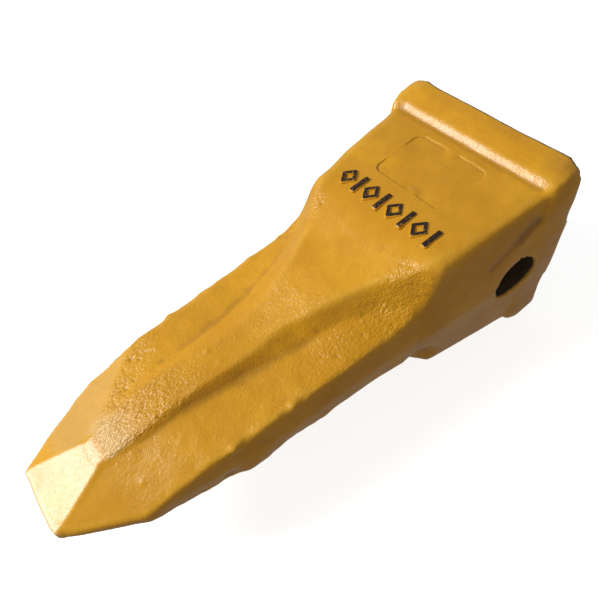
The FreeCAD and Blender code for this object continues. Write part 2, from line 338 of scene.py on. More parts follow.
def thin_out_inside(piece):
    """Leave a quarter of the faces on the socket's walls, where there is nothing small to see."""
    inner = outside_share(points_of(piece.data)) < 0.05
    weight_group(piece, "inside", inner.astype(float))
    fewer = piece.modifiers.new("fewer", "DECIMATE")
    fewer.ratio = 1.0 - 0.75 * inner.mean()
    fewer.vertex_group = "inside"
    fewer.vertex_group_factor = 10.0
    apply_modifiers(piece)


# The blank panel sunk in the top face: its limits, corner radius and depth.
PANEL_REAR, PANEL_FRONT = 29.3 * MM, 67.6 * MM
PANEL_LEFT, PANEL_RIGHT = -27.5 * MM, 22.5 * MM
PANEL_CORNER = 5.0 * MM
PANEL_DEPTH = 0.75 * MM


def panel_distance(points):
    """Distance outside the panel's rounded outline, negative inside it."""
    x, y, _ = points.T
    middle_x, half_x = (PANEL_REAR + PANEL_FRONT) / 2, (PANEL_FRONT - PANEL_REAR) / 2
    middle_y, half_y = (PANEL_LEFT + PANEL_RIGHT) / 2, (PANEL_RIGHT - PANEL_LEFT) / 2
    far_x = np.abs(x - middle_x) - half_x + PANEL_CORNER
    far_y = np.abs(y - middle_y) - half_y + PANEL_CORNER
    corner = np.hypot(np.maximum(far_x, 0), np.maximum(far_y, 0))
    return corner + np.minimum(np.maximum(far_x, far_y), 0) - PANEL_CORNER


# Places where the panel's edge has filled up in the mould: x, y and reach, in millimetres.
PANEL_FADES = [(49.0, -27.5, 9.0), (54.0, 22.5, 15.0), (67.6, 2.0, 4.0), (29.3, -3.0, 4.0)]


def panel_depth(points):
    """Depth of the panel, which runs out towards the filled-up places."""
    x, y, _ = points.T
    depth = np.full(len(points), PANEL_DEPTH)
    for fade_x, fade_y, reach in PANEL_FADES:
        away = np.hypot(x - fade_x * MM, y - fade_y * MM) / (reach * MM)
        depth *= 1.0 - 0.93 * np.exp(-1.2 * away**4)
    return depth


def on_top(points):
    """Where a point belongs to the box's top face."""
    x, y, z = points.T
    near = (x > 25 * MM) & (x < 92 * MM) & (np.abs(y) < 45 * MM)
    return near & (np.abs(z - face_level(x)) < 2 * MM)


def refine(piece, wanted):
    """Cut every face whose corners are all wanted into four."""
    shell = bmesh.new()
    shell.from_mesh(piece.data)
    shell.verts.ensure_lookup_table()
    edges = [e for e in shell.edges if wanted[e.verts[0].index] and wanted[e.verts[1].index]]
    bmesh.ops.subdivide_edges(shell, edges=edges, cuts=1, use_grid_fill=True)
    shell.to_mesh(piece.data)
    shell.free()


def panel_border(piece):
    """Which vertices are beside the panel's outline."""
    points = points_of(piece.data)
    return on_top(points) & (np.abs(panel_distance(points)) < 2.2 * MM)


def rough_skin(piece):
    """Which vertices are on the roughest parts of the upper side."""
    points = points_of(piece.data)
    rough = roughness_zone(points, normals_of(piece.data))
    return (rough > 0.27) & (points[:, 2] > 3 * MM)


# Lumps and pits a foundry leaves: x, y, z, radius and height, in millimetres.
BLEMISHES = [
    (186.8, 45.2, 15.3, 2.6, 1.5),
    (181.0, 45.6, 15.6, 2.4, -1.0),
    (192.5, 45.0, 14.9, 3.0, -0.5),
    (220.5, 43.4, 13.0, 2.4, 1.2),
    (214.5, 43.8, 13.4, 2.8, -0.9),
    (202.7, -5.8, 20.0, 1.5, 0.7),
    (194.4, -7.2, 20.1, 1.3, 0.5),
    (255.1, 15.3, 12.6, 1.6, -0.5),
    (259.0, 13.0, 12.2, 1.3, 0.4),
    (261.5, 26.6, 8.7, 1.6, 0.6),
    (251.0, 36.0, 8.4, 1.5, 0.5),
    (238.0, 24.0, 14.6, 1.4, 0.4),
    (96.0, 43.5, 42.5, 1.7, 0.9),
    (98.0, 47.0, 37.0, 1.5, 0.7),
    (101.0, 45.5, 31.5, 1.9, 1.0),
    (103.0, 47.8, 25.0, 1.6, 0.8),
    (99.0, 40.5, 40.0, 1.5, 0.7),
    (105.5, 44.0, 27.0, 1.7, -0.8),
    (109.0, 46.5, 21.5, 1.6, 0.7),
    (113.5, 42.5, 21.0, 1.8, 0.7),
    (121.0, 44.5, 18.6, 1.5, -0.7),
    (134.0, 41.0, 18.0, 1.4, 0.6),
    (211.0, 44.6, -9.0, 11.0, 2.4),
    (218.0, 44.0, -11.0, 5.0, 0.9),
    (228.0, 42.8, -8.0, 6.0, -1.2),
    (192.0, 46.0, -9.0, 11.0, 0.7),
    (170.0, 46.6, -15.2, 5.0, 0.6),
    (148.0, -46.5, 15.8, 4.0, 0.8),
    (205.0, -44.3, 13.2, 3.0, 0.7),
    (240.0, -42.0, -11.0, 3.5, 0.8),
    (12.0, 58.0, 20.0, 3.0, 0.5),
    (70.0, -53.0, -20.0, 4.0, 0.6),
]

# Long dents, and one raised scar of negative depth: start, end, half width and depth, in
# millimetres.
CREASES = [
    ((27.0, 56.9, 37.5), (37.6, 56.1, 32.5), 3.4, 0.6),
    ((31.5, 56.8, 40.0), (33.5, 56.4, 35.0), 2.2, 0.4),
    ((37.6, 56.1, 32.5), (58.0, 55.1, 22.0), 3.6, 0.4),
    ((221.0, -29.5, 14.6), (228.0, -34.0, 13.4), 0.9, -0.6),
    ((66.0, -53.6, 12.0), (86.0, -51.6, -6.0), 2.2, 0.4),
    ((130.0, -44.0, -18.5), (146.0, -36.0, -19.5), 1.6, 0.5),
]


def crease_depth(points, spread):
    """Sum of the long dents, as a depth in millimetres, each made wider by a factor."""
    total = np.zeros(len(points))
    for start, end, half_width, depth in CREASES:
        start, end = np.array(start) * MM, np.array(end) * MM
        run = end - start
        along = np.clip((points - start) @ run / (run @ run), 0, 1)
        away = np.linalg.norm(points - start - along[:, None] * run, axis=1)
        total += depth * mound(away / (half_width * spread * MM))
    return total


def blemish_height(points):
    """Sum of the lumps, pits and creases, as a height along the normal."""
    total = -crease_depth(points, 1.0) * MM
    for x, y, z, radius, height in BLEMISHES:
        away = np.linalg.norm(points - np.array((x, y, z)) * MM, axis=1) / (radius * MM)
        total += height * MM * mound(away)
    return total


def scattered(points, count, seed, low, high):
    """Random small lumps and pits over the neck, with radii between two sizes in millimetres."""
    chance = np.random.default_rng(seed)
    total = np.zeros(len(points))
    front = np.nonzero((points[:, 0] > 94 * MM) & (points[:, 0] < 270 * MM))[0]
    for pick in chance.choice(front, count):
        radius = chance.uniform(low, high) * MM
        height = chance.choice((-1.0, 1.0)) * radius * chance.uniform(0.22, 0.42)
        near = front[np.abs(points[front, 0] - points[pick, 0]) < 3 * radius]
        away = np.linalg.norm(points[near] - points[pick], axis=1) / radius
        total[near] += height * mound(away)
    return total


def ridge_share(points):
    """1 on the ridge behind the bevel, running out up the neck and down the ridge's left flank."""
    x, y, _ = points.T
    crest = 12.5 * MM - (x - 200 * MM) * 0.055
    right = 1.0 - ramp(y, crest - 1 * MM, crest + 1.5 * MM)
    left = 1.0 - ramp(-y, crest - 1 * MM, crest + 8 * MM)
    return right * left * ramp(x, 195 * MM, 255 * MM) * (1.0 - ramp(x, 266 * MM, BEVEL_X))


def roughness_zone(points, normals):
    """How rough the cast skin is: most on the ridge behind the bevel, least on the flats."""
    x, y, _ = points.T
    up = np.abs(normals[:, 2])
    neck = ramp(x, 112 * MM, 150 * MM) * (1.0 - ramp(x, 266 * MM, BEVEL_X))
    calm = ramp(y, 8 * MM, 14 * MM) * ramp(x, 200 * MM, 225 * MM)
    rough = 0.26 * neck * ramp(up, 0.3, 0.8) * (1.0 - 0.5 * calm)
    rough += 0.7 * ridge_share(points) * ramp(up, 0.6, 0.9)
    behind = facet_side(points)
    left_band = (1.0 - ramp(behind, -3 * MM, 1 * MM)) * ramp(behind, -30 * MM, -3 * MM)
    left_band *= window(x, 222 * MM, 266 * MM, 8 * MM) * (1.0 - ramp(y, -9 * MM, -5 * MM))
    rough += 0.5 * left_band
    slope = window(x, 95 * MM, 128 * MM, 6 * MM) * window(np.abs(y), 29 * MM, 49 * MM, 4 * MM)
    rough += 0.5 * slope * ramp(x, 92 * MM, 102 * MM)
    right_neck = window(x, 122 * MM, 168 * MM, 10 * MM) * window(y, 27 * MM, 46 * MM, 5 * MM)
    rough += 0.18 * right_neck
    front_flats = ramp(behind, -2 * MM, 3 * MM) * ramp(x, 228 * MM, 236 * MM)
    rough *= 1.0 - 0.9 * front_flats
    return np.clip(rough, 0, 1) * outside_share(points)


def facet_side(points):
    """Distance in front of the crease that runs from the bevel back to the shoulder edge."""
    x, y, _ = points.T
    return x - FACET_X + (np.abs(y) - FACET_HALF) * FACET_SWEEP


def front_facet(points):
    """Height that turns the twisted faces behind the bevel into two flats with a crease."""
    x, y, z = points.T
    along = np.clip((x - 230 * MM) / (FACET_X - 230 * MM), 0, 1)
    edge = (42.5 - 3.0 * along) * MM
    valley = (13.0 - 4.0 * along) * MM
    across = np.clip((edge - np.abs(y)) / (edge - valley), 0, 1)
    return 5.3 * MM * (np.minimum(across, along) - across * along) * np.sign(z)


# Unevenness of the casting's corners: where, reach and shift, in millimetres.
PUSHES = [
    ((4, -55, 58), 12, (0.0, -1.8, 2.6)),
    ((18, -55, 55), 16, (0.0, -2.6, 0.6)),
    ((42, -50, 48), 20, (0.0, -1.2, 0.7)),
    ((66, -50, 47), 14, (0.0, -0.8, 0.1)),
    ((86, -47, 45), 14, (0.0, 1.3, -0.3)),
    ((3, -28, 61), 22, (0.0, 0.0, 0.5)),
    ((3, 18, 60), 20, (0.0, 0.0, -0.4)),
    ((0, 58, 61), 7, (0.9, -0.8, -0.8)),
    ((6, 59, 42), 12, (0.0, 1.0, 0.0)),
    ((6, 59, 22), 20, (0.0, 0.8, 0.0)),
    ((6, 59, -8), 16, (0.0, 0.8, 0.0)),
    ((14, 58, -52), 18, (0.0, 1.0, -1.0)),
    ((42, 54, -42), 24, (0.0, 0.5, -0.7)),
    ((100, 49, -33), 13, (-6.8, -1.4, 2.6)),
    ((104, 50, -24), 8, (-2.2, -2.0, 3.4)),
    ((192, 46, -12), 8, (0.0, -0.8, 0.6)),
    ((244, 42, -5), 8, (0.0, -0.8, 0.6)),
    ((99, -45, 39), 7, (0.0, -0.7, 0.2)),
    ((92, -46, 45), 5, (0.0, 0.9, 0.0)),
    ((256, 41, -3), 7, (0.0, -0.9, 0.5)),
    ((303, 20, 1), 6, (-0.9, -0.9, 0.0)),
    ((304, -13, 1), 9, (-0.7, 0.0, 0.0)),
    ((288, -26, 2), 14, (0.0, -0.7, 0.3)),
    ((257, -40, 6), 6, (0.0, -0.5, 0.3)),
    ((224, -42, 12), 12, (0.0, -0.4, 0.4)),
    ((204, -43, 14), 14, (0.0, -0.1, 0.1)),
]


def corner_shift(points):
    """Sum of the slow pushes at the corners."""
    shift = np.zeros_like(points)
    for centre, reach, push in PUSHES:
        away = np.linalg.norm(points - np.array(centre) * MM, axis=1) / (reach * MM)
        shift += mound(away)[:, None] * np.array(push) * MM
    return shift


def skin_height(points, rough):
    """Waves, grain, lumps and dents of the cast skin, as a height along the normal."""
    x, y, _ = points.T
    all_over = 0.3 + 0.7 * (1.0 - ramp(x, 266 * MM, 276 * MM))
    shoulder = ramp(np.abs(y), 34 * MM, 41 * MM) * window(x, 104 * MM, 262 * MM, 8 * MM)
    shoulder *= ramp(noise_field(points * (1, 0.2, 0.2), 34 * MM, 10), -0.25, 0.35)
    drawn_out = points * (0.6, 1, 1)
    # Height and size of each layer's lumps in millimetres, its seed, where it lies, its points.
    layers = [
        (0.32, 26.0, 1, all_over, points),
        (0.16, 9.0, 2, all_over, points),
        (0.05, 3.6, 3, 1.0, points),
        (0.13, 3.6, 4, rough, drawn_out),
        (0.22, 1.4, 5, rough, drawn_out),
        (0.80, 13.0, 6, shoulder, points * (1, 0.5, 0.5)),
        (0.30, 4.0, 9, shoulder, points),
    ]
    height = blemish_height(points) + scattered(points, 120, 7, 1.0, 1.8) * (0.3 + rough)
    for tall, size, seed, share, place in layers:
        height += tall * MM * share * noise_field(place, size * MM, seed)
    return height


def sink_panel(points):
    """Depth of the sunk panel at each point, with a wandering outline."""
    wobble = 0.35 * MM * noise_field(points, 7 * MM, 8)
    sunk = 1.0 - ramp(panel_distance(points) + wobble, -0.3 * MM, 0.3 * MM)
    return panel_depth(points) * sunk * on_top(points)


def work_the_skin(piece):
    """Cast unevenness, rough skin, lumps, dents and the sunk panel, as real shape."""
    points, normals = points_of(piece.data), normals_of(piece.data)
    outer = outside_share(points)
    height = skin_height(points, roughness_zone(points, normals)) * outer
    shift = normals * height[:, None] + corner_shift(points) * outer[:, None]
    left_only = 1.0 - 0.8 * ramp(points[:, 1], -5 * MM, 5 * MM)
    shift[:, 2] += (front_facet(points) * left_only + valley_fill(points)) * outer
    shift[:, 1] += ridge_squeeze(points)
    shift[:, 2] -= sink_panel(points)
    move_points(piece.data, points + shift)


def ridge_squeeze(points):
    """How far the ridge's right flank sits nearer to the middle than its left one."""
    x, y, z = points.T
    flank = window(y, 9 * MM, 19 * MM, 4 * MM) * ramp(z, 6 * MM, 10 * MM)
    return -1.6 * MM * flank * window(x, 160 * MM, 236 * MM, 14 * MM)


def valley_fill(points):
    """Height that makes the valley on the ridge's left side shallower than the one on its right."""
    x, y, z = points.T
    near = np.exp(-(((y - left_valley(x)) / (4 * MM)) ** 2))
    return 1.1 * MM * near * window(x, 128 * MM, 258 * MM, 10 * MM) * (z > 0)


def neighbour_mean(points, edges, count):
    """Mean of each vertex's neighbours."""
    total = np.zeros_like(points)
    for side in range(3):
        first, second = points[edges[:, 0], side], points[edges[:, 1], side]
        total[:, side] = np.bincount(edges[:, 0], second, count)
        total[:, side] += np.bincount(edges[:, 1], first, count)
    share = np.bincount(edges.ravel(), minlength=count)
    return total / share[:, None]


# Depth at which a hollow takes its full painted shade, and height at which an edge takes its full
# painted highlight.
FULL_HOLLOW = 0.30 * MM


def store_skin_fields(piece):
    """Hollows and edges for painted shade and highlights, rough zones, paler zones of painted
    highlight, creases of painted shade and a dirty corner, the rear edge, and inside walls with the
    bore's painted shade, for the paint to follow.
    """
    mesh = piece.data
    points, normals = points_of(mesh), normals_of(mesh)
    flat = np.zeros(len(mesh.edges) * 2, np.int32)
    mesh.edges.foreach_get("vertices", flat)
    edges = flat.reshape(-1, 2)
    relaxed = points
    for _ in range(7):
        relaxed = neighbour_mean(relaxed, edges, len(points))
    # Painted shade in hollows and a painted highlight on edges both follow from this field.
    hollow = np.einsum("ij,ij->i", relaxed - points, normals)
    store_field(mesh, "hollow", np.clip(hollow / FULL_HOLLOW, -1, 1))
    store_field(mesh, "rough", roughness_zone(points, normals))
    x, y, z = points.T
    store_field(mesh, "tip", ramp(x, 268 * MM, 277 * MM))
    # Paler zones of painted highlight on the ridge behind the bevel and on the left flat in front
    # of the crease; also paler along the tip's front edge.
    wear_and_highlight = ridge_share(points) * ramp(x, 240 * MM, 270 * MM)
    left_flat = ramp(facet_side(points), -2 * MM, 3 * MM) * window(x, 234 * MM, 290 * MM, 6 * MM)
    wear_and_highlight += 0.5 * left_flat * (y < -9 * MM)
    wear_and_highlight += ramp(x, 302.4 * MM, 304 * MM)
    store_field(mesh, "wear_and_highlight", np.clip(wear_and_highlight, 0, 1) * (z > 0))
    # Painted shade along the creases, and a darker patch of dirt at the collar's right end.
    corner = np.linalg.norm(points - np.array((8, 50, 60)) * MM, axis=1) / (16 * MM)
    crease_shade_and_dirt = crease_depth(points, 1.6) + 0.33 * mound(corner)
    store_field(mesh, "crease_shade_and_dirt", np.clip(crease_shade_and_dirt, 0, 1))
    # From 0.4 mm into the bore its wall takes the dark raw colour: raw steel and painted shade of
    # the hole.
    deep = ramp(side_face(points) - np.abs(y), 0.4 * MM, 2.5 * MM)
    bore = np.hypot(x - BORE_X, z)
    in_bore = 1.0 - ramp(bore, BORE_RADIUS + 0.2 * MM, BORE_RADIUS + 0.9 * MM)
    store_field(mesh, "outside", outside_share(points) * (1.0 - 0.9 * deep * in_bore))
    # Darker along the rear edge and the rear face.
    store_field(mesh, "rear", 1.0 - ramp(x, 0.6 * MM, 2.8 * MM))


def make_casting():
    """The whole casting as one detailed mesh."""
    piece = even_copy()
    clear_top_face(piece)
    smooth_long_profile(piece)
    soften_edges(piece)
    restore_shape(piece)
    thin_out_inside(piece)
    refine(piece, rough_skin(piece))
    for _ in range(2):
        refine(piece, panel_border(piece))
    work_the_skin(piece)
    store_skin_fields(piece)
    shade_smooth(piece)
    return piece


# ------------------------ raised marks

# The row of marks: its left end, the distance from mark to mark, how many pairs there are, and
# how far it runs forward per metre sideways.
MARK_X, MARK_START, MARK_SPACING, MARK_PAIRS = 81.99 * MM, -32.2 * MM, 9.3 * MM, 4
MARK_ROW_SLANT = 0.03
# One mark: its size, its corner radii outside and in the hole, how high it sits on the face,
# and the most that it is turned, in radians.
MARK_HALF_HEIGHT, MARK_HALF_WIDTH, MARK_STROKE = 6.4 * MM, 5.0 * MM, 2.8 * MM
MARK_CORNER, HOLE_CORNER = 0.7 * MM, 0.3 * MM
MARK_GROUND = 0.35 * MM
MARK_LEAN = 0.06

# Side profiles from foot to top, as points (distance outside the mark's outline, height) in
# millimetres: the painted body of a mark, and the dark paint that lies on its top.
PAINTED_PROFILE = [(0.95, -1.2), (0.85, -0.3), (0.60, 0.15), (0.0, 0.85), (-0.35, 1.05)]
INK_PROFILE = [(-0.45, 0.7), (0.12, 0.76), (-0.02, 0.97), (-0.40, 1.13)]


def rounded_outline(corners, radius, steps=5):
    """Convex outline with its corners rounded about fixed centres."""
    count = len(corners)
    corners = [Vector(c) for c in corners]
    turn = sum(a.cross(b) for a, b in zip(corners, corners[1:] + corners[:1]))
    if turn < 0:
        corners.reverse()
    outline = []
    for index in range(count):
        before = (corners[index] - corners[index - 1]).normalized()
        after = (corners[(index + 1) % count] - corners[index]).normalized()
        start = math.atan2(-before.x, before.y)
        finish = math.atan2(-after.x, after.y)
        while finish < start:
            finish += 2 * math.pi
        for step in range(steps + 1):
            angle = start + (finish - start) * step / steps
            outline.append(corners[index] + radius * Vector((math.cos(angle), math.sin(angle))))
    return outline


def inset_corners(half_long, half_wide, shape, inset):
    """Corner centres of a lozenge or bar, moved in from its real outline."""
    if shape == "bar":
        long, wide = half_long - inset, half_wide - inset
        return [(long, wide), (-long, wide), (-long, -wide), (long, -wide)]
    slant = math.hypot(half_long, half_wide)
    long = half_long - inset * slant / half_wide
    wide = half_wide - inset * slant / half_long
    return [(long, 0), (0, wide), (-long, 0), (0, -wide)]


def join_rows(shell, pairs):
    """Quads between pairs of equal rows of vertices, or triangles where a row is one point."""
    for lower, upper in pairs:
        for index in range(len(lower)):
            follow = (index + 1) % len(lower)
            corners = [lower[index], lower[follow], upper[follow], upper[index]]
            shell.faces.new([c for n, c in enumerate(corners) if c not in corners[:n]])


def mark_loops(shape, levels, place):
    """Outlines of one mark from its foot to its top, and back down its hole if it has one."""
    half_wide = MARK_STROKE / 2 if shape == "bar" else MARK_HALF_WIDTH
    outer = inset_corners(MARK_HALF_HEIGHT, half_wide, shape, MARK_CORNER)
    loops = []
    for out, up in levels:
        loops.append([place(p, up) for p in rounded_outline(outer, MARK_CORNER + out)])
    if shape == "bar":
        return loops
    slant = math.hypot(MARK_HALF_HEIGHT, half_wide)
    inner_long = MARK_HALF_HEIGHT - MARK_STROKE * slant / half_wide * 0.62
    inner_wide = half_wide - MARK_STROKE * slant / MARK_HALF_HEIGHT * 0.62
    inner = inset_corners(inner_long, inner_wide, "lozenge", HOLE_CORNER)
    for out, up in reversed(levels):
        loops.append([place(p, up) for p in rounded_outline(inner, HOLE_CORNER - 0.7 * out)])
    return loops


def on_face_place(across):
    """Function that lays a flat point of a mark on the sloping face, at a height above it."""
    tilt = math.atan(FACE_SLOPE)
    row_x = MARK_X + MARK_ROW_SLANT * (across - MARK_START)
    level = face_level(row_x) + MARK_GROUND
    lean = noise.noise(Vector((across * 400, 0, 0))) * MARK_LEAN

    def place(flat, up):
        forward = flat[0] * math.cos(lean) - flat[1] * math.sin(lean)
        aside = flat[0] * math.sin(lean) + flat[1] * math.cos(lean)
        x = row_x + forward * math.cos(tilt) + up * math.sin(tilt)
        z = level - forward * math.sin(tilt) + up * math.cos(tilt)
        return Vector((x, across + aside, z))

    return place


def make_marks(name, profile):
    """Row of raised foundry marks, lozenge and bar by turns, with the given side profile."""
    shell = bmesh.new()
    levels = [(out * MM, up * MM) for out, up in profile]
    for order in range(2 * MARK_PAIRS):
        shape = "bar" if order % 2 else "lozenge"
        place = on_face_place(MARK_START + order * MARK_SPACING)
        rows = [[shell.verts.new(p) for p in loop] for loop in mark_loops(shape, levels, place)]
        pairs = list(zip(rows[:-1], rows[1:]))
        if shape == "lozenge":
            pairs.append((rows[-1], rows[0]))
        join_rows(shell, pairs)
        if shape == "bar":
            shell.faces.new(rows[-1])
            shell.faces.new(rows[0][::-1])
    bmesh.ops.recalc_face_normals(shell, faces=shell.faces)
    bmesh.ops.triangulate(shell, faces=[f for f in shell.faces if len(f.verts) > 4])
    return piece_from(shell, name)


# ------------------------ turned pieces

# Points nearer to the axis than this are on it.
ON_AXIS = 1e-7


def turned(name, profile, centre, segments=96):
    """Closed ring or solid turned about the pin's axis from (radius, along) points."""
    shell = bmesh.new()
    rows = []
    for radius, along in profile:
        if radius < ON_AXIS:
            rows.append([shell.verts.new(centre + Vector((0, along, 0)))] * segments)
            continue
        row = []
        for step in range(segments):
            angle = 2 * math.pi * step / segments
            spoke = Vector((radius * math.cos(angle), along, radius * math.sin(angle)))
            row.append(shell.verts.new(centre + spoke))
        rows.append(row)
    pairs = list(zip(rows[:-1], rows[1:]))
    if profile[0][0] >= ON_AXIS:
        pairs.append((rows[-1], rows[0]))
    join_rows(shell, pairs)
    bmesh.ops.recalc_face_normals(shell, faces=shell.faces)
    piece = piece_from(shell, name)
    shade_smooth(piece)
    return piece


def rounded_profile(corners, closed):
    """Profile with each (radius, along, rounding) corner cut by a small arc."""
    result = []
    count = len(corners)
    for index, (radius, along, rounding) in enumerate(corners):
        here = Vector((radius, along))
        if rounding == 0 or (not closed and index in (0, count - 1)):
            result.append((here.x, here.y))
            continue
        before = Vector(corners[index - 1][:2]) - here
        after = Vector(corners[(index + 1) % count][:2]) - here
        start = here + before.normalized() * rounding
        finish = here + after.normalized() * rounding
        for step in range(5):
            t = step / 4
            spot = start * (1 - t) ** 2 + here * 2 * t * (1 - t) + finish * t**2
            result.append((spot.x, spot.y))
    return result


def other_end(corners):
    """The same (radius, along, rounding) corners at the other end of the piece."""
    return [(radius, -along, rounding) for radius, along, rounding in corners]


def make_pin():
    """Retaining pin with chamfered ends, a centre hole in each end face, and its groove."""
    low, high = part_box("retaining_pin")
    centre = (low + high) / 2
    half = (high.y - low.y) / 2
    radius = (high.x - low.x) / 2
    groove, width, floor = 31 * MM, 5.4 * MM, 11.4 * MM
    near, far = groove - width / 2, groove + width / 2
    chamfer, fine = 2 * MM, 0.5 * MM
    hole, hole_floor, hole_depth = 2.6 * MM, 1.3 * MM, 2.6 * MM
    bottom = hole_depth + 0.8 * MM
    end = [
        (0, half - bottom, 0),
        (hole_floor, half - hole_depth, 0),
        (hole, half, 0.3 * MM),
        (radius - chamfer, half, fine),
        (radius, half - chamfer, fine),
    ]
    middle = [
        (radius, 0, 0),
        (radius, near, 0.4 * MM),
        (floor, near, fine),
        (floor, far, fine),
        (radius, far, 0.4 * MM),
    ]
    corners = other_end(end) + middle + end[::-1]
    return turned("side_pin", rounded_profile(corners, False), centre)


def make_rubber():
    """Rubber of the retainer: bulged collar with lips, a mould line and the ring's seat."""
    low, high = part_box("retainer_rubber")
    centre = (low + high) / 2
    half = (high.y - low.y) / 2
    outer = (high.x - low.x) / 2
    inner, seat, seat_half = 14.4 * MM, 16.05 * MM, 2.35 * MM
    outside = [
        (inner, half, 0.8 * MM),
        (outer - 3.0 * MM, half, 0.5 * MM),
        (outer - 2.2 * MM, half - 0.7 * MM, 0.4 * MM),
        (outer - 0.6 * MM, half - 1.1 * MM, 0.6 * MM),
        (outer - 0.2 * MM, 0.5 * MM, 0.3 * MM),
    ]
    seat_side = [(inner, seat_half, 0.2 * MM), (seat, seat_half, 0.2 * MM)]
    corners = other_end(outside) + [(outer, 0, 0.3 * MM)] + outside[::-1]
    corners += seat_side + other_end(seat_side[::-1])
    return turned("rubber_collar", rounded_profile(corners, True), centre)


# ------------------------ materials


class Finish:
    """One procedural material, built node by node in the object's own metres."""

    def __init__(self, name):
        self.material = bpy.data.materials.new(name)
        self.material.use_nodes = True
        self.tree = self.material.node_tree
        self.tree.nodes.clear()
        output = self.tree.nodes.new("ShaderNodeOutputMaterial")
        self.shader = self.tree.nodes.new("ShaderNodeBsdfPrincipled")
        self.join(self.shader.outputs["BSDF"], output.inputs["Surface"])
        place = self.tree.nodes.new("ShaderNodeTexCoord")
        self.place = place.outputs["Object"]

    def join(self, source, target):
        """Link an output to an input."""
        self.tree.links.new(source, target)

    def feed(self, socket, value):
        """Link a socket, or set it if the value is plain."""
        if isinstance(value, bpy.types.NodeSocket):
            self.join(value, socket)
        else:
            socket.default_value = value

    def noise(self, size, detail=3.0, rough=0.55, stretch=None):
        """Noise with lumps of the given size in metres."""
        place = self.place
        if stretch:
            mapping = self.tree.nodes.new("ShaderNodeMapping")
            mapping.inputs["Scale"].default_value = stretch
            self.join(place, mapping.inputs["Vector"])
            place = mapping.outputs["Vector"]
        item = self.tree.nodes.new("ShaderNodeTexNoise")
        item.inputs["Scale"].default_value = 1.0 / size
        item.inputs["Detail"].default_value = detail
        item.inputs["Roughness"].default_value = rough
        self.join(place, item.inputs["Vector"])
        return item.outputs["Fac"]

    def cells(self, size):
        """Distance to the nearest of scattered points, for pits and specks."""
        item = self.tree.nodes.new("ShaderNodeTexVoronoi")
        item.inputs["Scale"].default_value = 1.0 / size
        self.join(self.place, item.inputs["Vector"])
        return item.outputs["Distance"]

    def field(self, name):
        """A number kept on the mesh."""
        item = self.tree.nodes.new("ShaderNodeAttribute")
        item.attribute_name = name
        return item.outputs["Fac"]

    def remap(self, value, low, high, start=0.0, finish=1.0):
        """Smoothly map low..high to start..finish."""
        item = self.tree.nodes.new("ShaderNodeMapRange")
        item.interpolation_type = "SMOOTHSTEP"
        self.join(value, item.inputs["Value"])
        numbers = (("From Min", low), ("From Max", high), ("To Min", start), ("To Max", finish))
        for label, number in numbers:
            item.inputs[label].default_value = number
        return item.outputs["Result"]

    def math(self, operation, first, second):
        """Combine two numbers."""
        item = self.tree.nodes.new("ShaderNodeMath")
        item.operation = operation
        self.feed(item.inputs[0], first)
        self.feed(item.inputs[1], second)
        return item.outputs[0]

    def mix(self, share, first, second):
        """Blend two colours."""
        item = self.tree.nodes.new("ShaderNodeMix")
        item.data_type = "RGBA"
        self.feed(item.inputs["Factor"], share)
        self.feed(item.inputs["A"], first)
        self.feed(item.inputs["B"], second)
        return item.outputs["Result"]

    def bump(self, layers):
        """Stack of (height socket, distance in metres, strength) bumps."""
        normal = None
        for height, distance, strength in layers:
            item = self.tree.nodes.new("ShaderNodeBump")
            item.inputs["Distance"].default_value = distance
            self.feed(item.inputs["Strength"], strength)
            self.join(height, item.inputs["Height"])
            if normal is not None:
                self.join(normal, item.inputs["Normal"])
            normal = item.outputs["Normal"]
        self.join(normal, self.shader.inputs["Normal"])

    def give(self, piece):
        """Make this the piece's only material."""
        piece.data.materials.clear()
        piece.data.materials.append(self.material)


def rgb(red, green, blue):
    """Colour with full opacity."""
    return (red, green, blue, 1.0)


# Colours of the enamel, from deep to bright, of what wears or dirties it, and of the painted shade
# and painted highlights laid on it.
DEEP_OCHRE = rgb(0.50, 0.225, 0.006)
OCHRE = rgb(0.575, 0.272, 0.006)
BRIGHT_OCHRE = rgb(0.655, 0.328, 0.010)
EDGE_HIGHLIGHT_OCHRE = rgb(0.72, 0.42, 0.06)
HIGHLIGHT_CREAM = rgb(0.68, 0.50, 0.24)
HOLLOW_SHADE_BROWN = rgb(0.28, 0.13, 0.010)
SHADE_AND_DIRT_BROWN = rgb(0.26, 0.12, 0.02)
SPECK_BROWN = rgb(0.20, 0.095, 0.012)
REAR_EDGE_DARK = rgb(0.085, 0.045, 0.018)
RAW_AND_SHADE_DARK, RAW_AND_SHADE_LIGHT = rgb(0.045, 0.028, 0.016), rgb(0.085, 0.05, 0.022)
INK, WORN_INK = rgb(0.020, 0.008, 0.004), rgb(0.30, 0.15, 0.02)
RUBBER, BLOOM = rgb(0.018, 0.018, 0.018), rgb(0.060, 0.057, 0.052)
PIN_LIGHT, PIN_DARK, PIN_RUST = (
    rgb(0.42, 0.41, 0.40),
    rgb(0.20, 0.19, 0.18),
    rgb(0.12, 0.045, 0.015),
)
SPRING_LIGHT, SPRING_DARK, SPRING_RUST = (
    rgb(0.30, 0.31, 0.33),
    rgb(0.10, 0.105, 0.12),
    rgb(0.10, 0.04, 0.015),
)
PAPER, WHITE = rgb(0.5, 0.5, 0.5), rgb(1, 1, 1)


